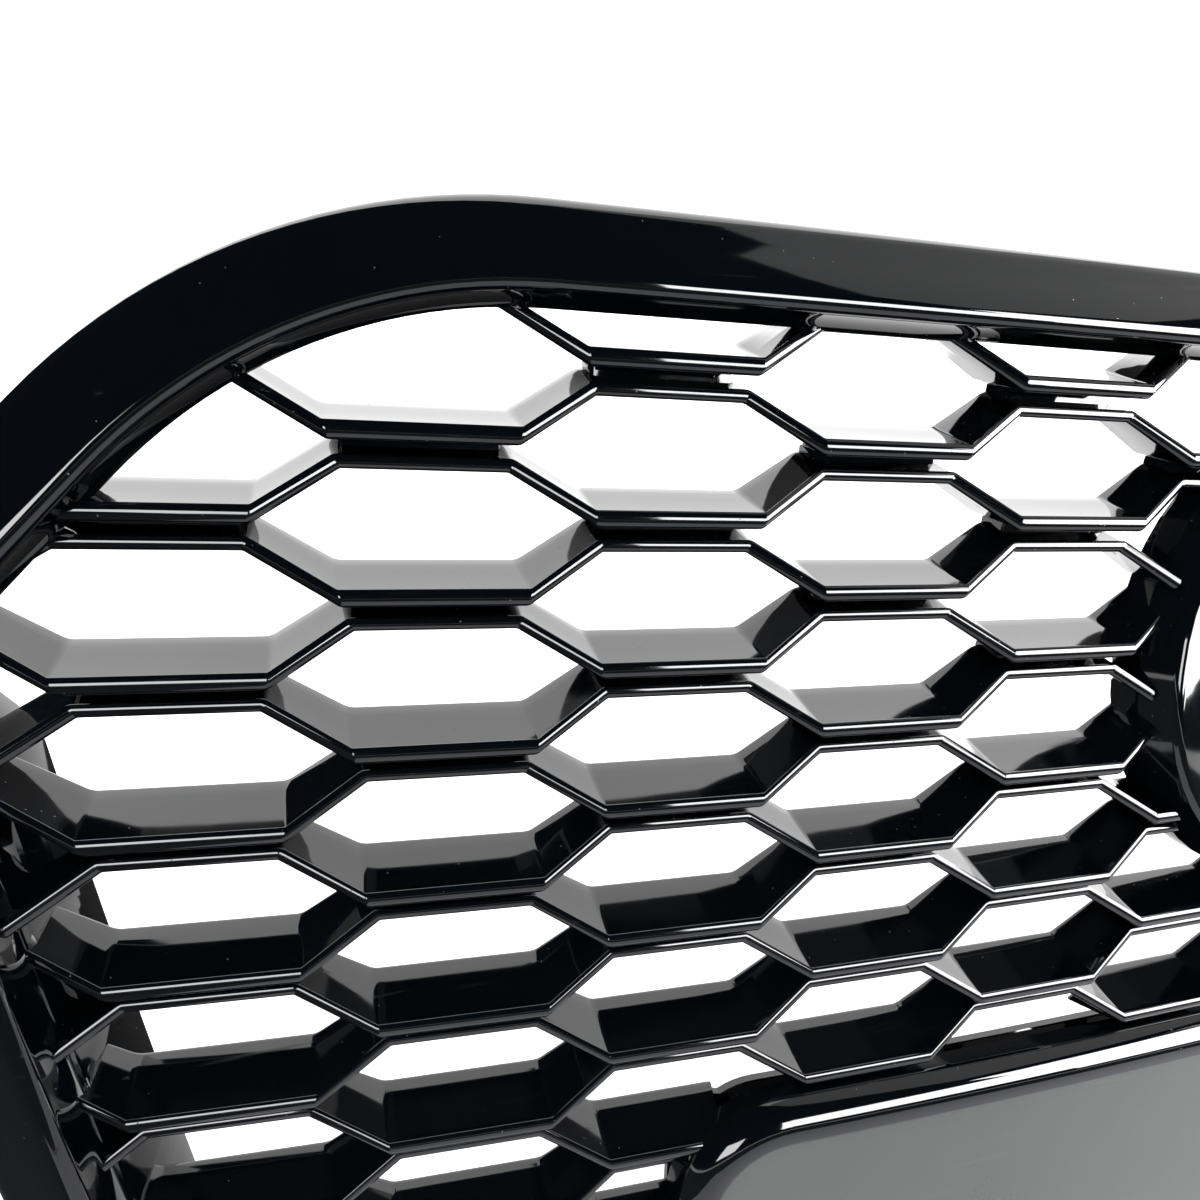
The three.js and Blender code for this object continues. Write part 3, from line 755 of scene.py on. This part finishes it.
def screw():
    """One screw along Y: point, thread as rings, shank and domed head."""
    profile = [(0, -REACH), (0.5, -REACH), (1.0, -REACH + 1.4)]
    y = -REACH + 1.6
    while y < -0.9:
        profile += [(CORE, y), (SHANK + 0.02, y + 0.28), (SHANK + 0.02, y + 0.4), (CORE, y + 0.68)]
        y += THREAD_PITCH
    profile += [(SHANK, -0.3), (SHANK, 0), (HEAD - 0.15, 0), (HEAD, 0.2), (HEAD - 0.02, 0.75)]
    for k in range(1, 6):
        a = math.radians(18 * k)
        profile.append((HEAD * math.cos(a) * 0.999, 0.75 + (HEAD_TALL - 0.75) * math.sin(a)))
    profile.append((0, HEAD_TALL))
    body = lathe("screw", profile, Vector((0, 0, 0)), 40)
    combine(body, star(1.45, HEAD_TALL - 1.6, HEAD_TALL + 1), "DIFFERENCE")
    return smooth(body)


def screws(material):
    """A screw in place of each screw node, turned by chance."""
    model = screw()
    mesh = model.data
    bpy.data.objects.remove(model)
    random.seed(11)
    for name in sorted(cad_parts):
        if "screw" not in name:
            continue
        low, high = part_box(name)
        thing = linked(name + "_body", mesh)
        centre = (Vector(low) + Vector(high)) / 2
        thing.location = (centre.x, high[1] - HEAD_TALL * MM, centre.z)
        thing.rotation_euler = (0, random.uniform(0, math.pi), 0)
        finish_piece(thing, material, "zinc", name)


# ---- materials --------------------------------------------------------------------------------------


class Nodes:
    """A material's node tree with short calls to add and link nodes."""

    def __init__(self, name):
        self.material = bpy.data.materials.new(name)
        self.material.use_nodes = True
        self.tree = self.material.node_tree
        self.shader = self.tree.nodes["Principled BSDF"]
        self.where = self.add("ShaderNodeTexCoord").outputs["Object"]

    def add(self, kind, links=None, **settings):
        """A new node; links gives each named input a value or another node's output."""
        node = self.tree.nodes.new(kind)
        for key, value in settings.items():
            setattr(node, key, value)
        for socket, value in (links or {}).items():
            self.set(node.inputs[socket], value)
        return node

    def set(self, socket, value):
        if isinstance(value, bpy.types.NodeSocket):
            self.tree.links.new(value, socket)
        else:
            socket.default_value = value

    def noise(self, scale, detail=3, roughness=0.5, stretch=(1, 1, 1)):
        spot = self.add("ShaderNodeMapping", {"Vector": self.where, "Scale": stretch})
        links = {"Vector": spot.outputs[0], "Scale": scale, "Detail": detail, "Roughness": roughness}
        return self.add("ShaderNodeTexNoise", links).outputs["Fac"]

    def ramp(self, value, low, high, to_low=0.0, to_high=1.0):
        links = {"Value": value, "From Min": low, "From Max": high, "To Min": to_low, "To Max": to_high}
        return self.add("ShaderNodeMapRange", links).outputs[0]

    def math(self, operation, a, b=0.0):
        return self.add("ShaderNodeMath", {0: a, 1: b}, operation=operation).outputs[0]

    def mix(self, share, a, b):
        node = self.add("ShaderNodeMix", data_type="RGBA")
        self.set(node.inputs["Factor"], share)
        self.set(node.inputs[6], a)
        self.set(node.inputs[7], b)
        return node.outputs[2]

    def bump(self, height, strength, distance, normal=None):
        links = {"Height": height, "Strength": strength, "Distance": distance}
        if normal is not None:
            links["Normal"] = normal
        return self.add("ShaderNodeBump", links).outputs[0]

    def dust(self, scale, size, share):
        """Sparse small specks: 1 on a speck."""
        cells = self.add("ShaderNodeTexVoronoi", {"Vector": self.where, "Scale": scale})
        near = self.ramp(cells.outputs["Distance"], size * 0.6, size, 1.0, 0.0)
        pick = self.add("ShaderNodeSeparateColor", {"Color": cells.outputs["Color"]}).outputs[0]
        return self.math("MULTIPLY", near, self.ramp(pick, 1 - share - 0.01, 1 - share))


def gloss_black(name, colour, rough_low, rough_high, dust_share):
    """Moulded gloss black: faint flow ripple, polishing haze, hairline scratches and dust specks."""
    n = Nodes(name)
    haze = n.ramp(n.noise(9, 4, 0.6), 0.35, 0.7)
    smear = n.ramp(n.noise(60, 3, 0.6, (1, 1, 6)), 0.45, 0.75)
    scratch = n.ramp(n.noise(420, 2, 0.5, (0.04, 1, 1)), 0.68, 0.72)
    specks = n.dust(900, 0.16, dust_share)
    rough = n.ramp(n.math("ADD", haze, n.math("MULTIPLY", smear, 0.5)), 0, 1.5, rough_low, rough_high)
    rough = n.math("ADD", rough, n.math("MULTIPLY", scratch, 0.12))
    rough = n.math("ADD", rough, n.math("MULTIPLY", specks, 0.5))
    n.set(n.shader.inputs["Roughness"], rough)
    dusty = n.mix(specks, colour, (0.035, 0.035, 0.03, 1))
    hazy = n.mix(n.math("MULTIPLY", haze, 0.35), dusty, (0.0012, 0.0016, 0.0024, 1))
    n.set(n.shader.inputs["Base Color"], hazy)
    ripple = n.bump(n.noise(38, 2, 0.4), 0.06, 0.001)
    n.set(n.shader.inputs["Normal"], n.bump(specks, 0.4, 0.0001, ripple))
    n.shader.inputs["IOR"].default_value = 1.5
    return n.material


def satin_black(name):
    """The plinth's satin panel: fine moulded grain, cloudy sheen, hairline scratches and dust."""
    n = Nodes(name)
    cloud = n.ramp(n.noise(7, 4, 0.6), 0.3, 0.7)
    grain = n.noise(1500, 3, 0.6)
    scratch = n.ramp(n.noise(260, 2, 0.5, (0.05, 1, 1)), 0.69, 0.73)
    specks = n.dust(700, 0.14, 0.004)
    base = n.mix(cloud, (0.038, 0.042, 0.038, 1), (0.052, 0.056, 0.051, 1))
    marked = n.mix(n.math("MULTIPLY", scratch, 0.12), base, (0.1, 0.1, 0.095, 1))
    n.set(n.shader.inputs["Base Color"], n.mix(specks, marked, (0.12, 0.12, 0.115, 1)))
    rough = n.ramp(n.math("ADD", cloud, n.math("MULTIPLY", grain, 0.4)), 0, 1.4, 0.26, 0.36)
    n.set(n.shader.inputs["Roughness"], n.math("ADD", rough, n.math("MULTIPLY", specks, 0.3)))
    n.set(n.shader.inputs["Normal"], n.bump(grain, 0.12, 0.0001))
    n.shader.inputs["IOR"].default_value = 1.5
    return n.material


def zinc_steel(name):
    """Zinc-plated steel: mottled grain, tarnish in patches and fine rolling lines."""
    n = Nodes(name)
    grain = n.noise(2600, 4, 0.7)
    patch = n.ramp(n.noise(320, 4, 0.6), 0.4, 0.68)
    lines = n.noise(1800, 2, 0.5, (1, 0.05, 1))
    colour = n.mix(patch, (0.60, 0.61, 0.63, 1), (0.42, 0.41, 0.38, 1))
    n.set(n.shader.inputs["Base Color"], n.mix(n.math("MULTIPLY", grain, 0.3), colour, (0.7, 0.7, 0.68, 1)))
    n.set(n.shader.inputs["Roughness"], n.ramp(n.math("ADD", patch, grain), 0.2, 1.6, 0.22, 0.5))
    n.set(n.shader.inputs["Normal"], n.bump(lines, 0.15, 0.0001))
    n.shader.inputs["Metallic"].default_value = 1.0
    return n.material


# ---- build ------------------------------------------------------------------------------------------

opening = opening_path()
plinth_outline = rectangle_path(PLINTH_X, PLINTH_BOTTOM, PLINTH_TOP, PLINTH_R)
badge_outline = rectangle_path(BADGE_X, BADGE_Z - BADGE_HALF, BADGE_Z + BADGE_HALF, BADGE_R)

black = gloss_black("moulded_gloss_black", (0.0005, 0.0008, 0.0013, 1), 0.03, 0.085, 0.02)
panel_black = satin_black("panel_satin_black")
zinc = zinc_steel("zinc_steel")

finish_piece(honeycomb_insert(), black, "gloss_black", "honeycomb_insert")
finish_piece(surround(), black, "gloss_black", "surround_frame")
paint_panel(finish_piece(plinth(), black, "panel_black", "plate_plinth"), panel_black)
finish_piece(badge(), black, "gloss_black", "badge_base")
finish_piece(badge_cover(), black, "gloss_black", "badge_blank")
screws(zinc)
for node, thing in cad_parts.items():
    if "clip" in node or "nut" in node:
        thing.data.materials.clear()
        thing.data.materials.append(zinc)

# ---- floor, lights and camera -----------------------------------------------------------------------

STUDIO = Vector((0, -0.05, -0.15))           # centre of the domes: the middle of the grille
WHITE, COLD, COOL = (1, 1, 1), (0.55, 0.75, 1.0), (0.95, 0.95, 1)
CAMERA_AT = -335.3, -160.3, -5.4
CAMERA_RIGHT, CAMERA_UP, CAMERA_AHEAD = ((0.95206, -0.30292, 0.04275), (0.08612, 0.39948, 0.91269),
                                         (0.29355, 0.86525, -0.40641))


def emitter(name, colour, strength):
    """A material that only gives off light."""
    material = bpy.data.materials.new(name)
    material.use_nodes = True
    nodes = material.node_tree.nodes
    nodes.clear()
    out = nodes.new("ShaderNodeOutputMaterial")
    light = nodes.new("ShaderNodeEmission")
    light.inputs["Color"].default_value = (*colour, 1)
    light.inputs["Strength"].default_value = strength
    material.node_tree.links.new(light.outputs[0], out.inputs[0])
    return material


def reflected(name, points, faces, colour, strength):
    """A stage mesh kept out of the picture, the light and the shadows: it shows only in gloss."""
    mesh = bpy.data.meshes.new(name)
    mesh.from_pydata(points, [], faces)
    mesh.materials.append(emitter(name, colour, strength))
    thing = linked(name, mesh)
    thing.visible_camera = False
    thing.visible_diffuse = False
    thing.visible_transmission = False
    thing.visible_shadow = False


def dome(name, radius, azimuths, elevations, colour, strength):
    """Part of a dome that lights or darkens reflections; azimuth 0 is the front, 90 the right."""
    points, faces = [], []
    columns, rows = 24, 12
    for i in range(columns + 1):
        a = math.radians(azimuths[0] + (azimuths[1] - azimuths[0]) * i / columns)
        for j in range(rows + 1):
            e = math.radians(elevations[0] + (elevations[1] - elevations[0]) * j / rows)
            toward = Vector((math.sin(a) * math.cos(e), -math.cos(a) * math.cos(e), math.sin(e)))
            points.append(STUDIO + toward * radius)
    for i in range(columns):
        for j in range(rows):
            k = i * (rows + 1) + j
            faces.append((k, k + 1, k + rows + 2, k + rows + 1))
    reflected(name, points, faces, colour, strength)


def floor_shade(name, x0, x1, y0, y1, colour, strength):
    """A patch just above the floor that lightens or darkens what the gloss shows of it."""
    z = cad_low[2] - 0.002
    points = [(x0, y0, z), (x1, y0, z), (x1, y1, z), (x0, y1, z)]
    reflected(name, points, [(0, 1, 2, 3)], colour, strength)


def white_floor():
    """The plain pale floor under the hooks."""
    mesh = bpy.data.meshes.new("floor")
    z = cad_low[2] - 0.003
    mesh.from_pydata([(-9, -9, z), (9, -9, z), (9, 9, z), (-9, 9, z)], [], [(0, 1, 2, 3)])
    material = bpy.data.materials.new("floor")
    material.use_nodes = True
    shader = material.node_tree.nodes["Principled BSDF"]
    shader.inputs["Base Color"].default_value = (0.9, 0.9, 0.89, 1)
    shader.inputs["Roughness"].default_value = 0.9
    mesh.materials.append(material)
    linked("floor", mesh)


def sky(strength):
    """Even white light from all round."""
    world = bpy.data.worlds.new("studio")
    bpy.context.scene.world = world
    world.use_nodes = True
    back = world.node_tree.nodes["Background"]
    back.inputs["Color"].default_value = (1, 1, 1, 1)
    back.inputs["Strength"].default_value = strength


def camera():
    """The wide view from close in front of the upper left."""
    data = bpy.data.cameras.new("camera")
    thing = linked("camera", data)
    thing.location = place(*CAMERA_AT)
    axes = Matrix((CAMERA_RIGHT, CAMERA_UP, -Vector(CAMERA_AHEAD)))
    thing.rotation_euler = axes.transposed().to_euler()
    data.sensor_width = 36
    data.lens = 23.15
    data.shift_y = 0.125
    data.clip_start = 0.01
    data.clip_end = 50
    bpy.context.scene.camera = thing


white_floor()
sky(2.8)
dome("dark_front", 2.6, (-140, 100), (-1.5, 40), COLD, 0.03)
dome("dark_ceiling", 2.6, (-140, 40), (40, 89), COLD, 0.03)
dome("dim_ceiling", 2.6, (40, 115), (40, 89), WHITE, 0.9)
dome("window_left", 2.4, (-42, -22), (4, 20), WHITE, 15)
dome("window_right", 2.4, (7, 36), (6, 25), WHITE, 24)
dome("window_side", 2.4, (36, 100), (3, 33), WHITE, 24)
floor_shade("floor_left", -3, -0.46, -0.62, 0.6, WHITE, 0.15)
floor_shade("floor_far", -3, 3, -4, -0.62, WHITE, 0.12)
floor_shade("floor_front", -0.46, 3, -0.62, -0.12, COOL, 1.45)
floor_shade("floor_dark", -0.46, -0.1, 0.15, 1.4, WHITE, 0.08)
floor_shade("floor_middle", -0.46, -0.1, -0.12, 0.15, WHITE, 0.8)
floor_shade("floor_behind", -0.1, 0.9, -0.12, 1.4, WHITE, 1.5)
camera()
bpy.context.scene.view_settings.view_transform = "Standard"
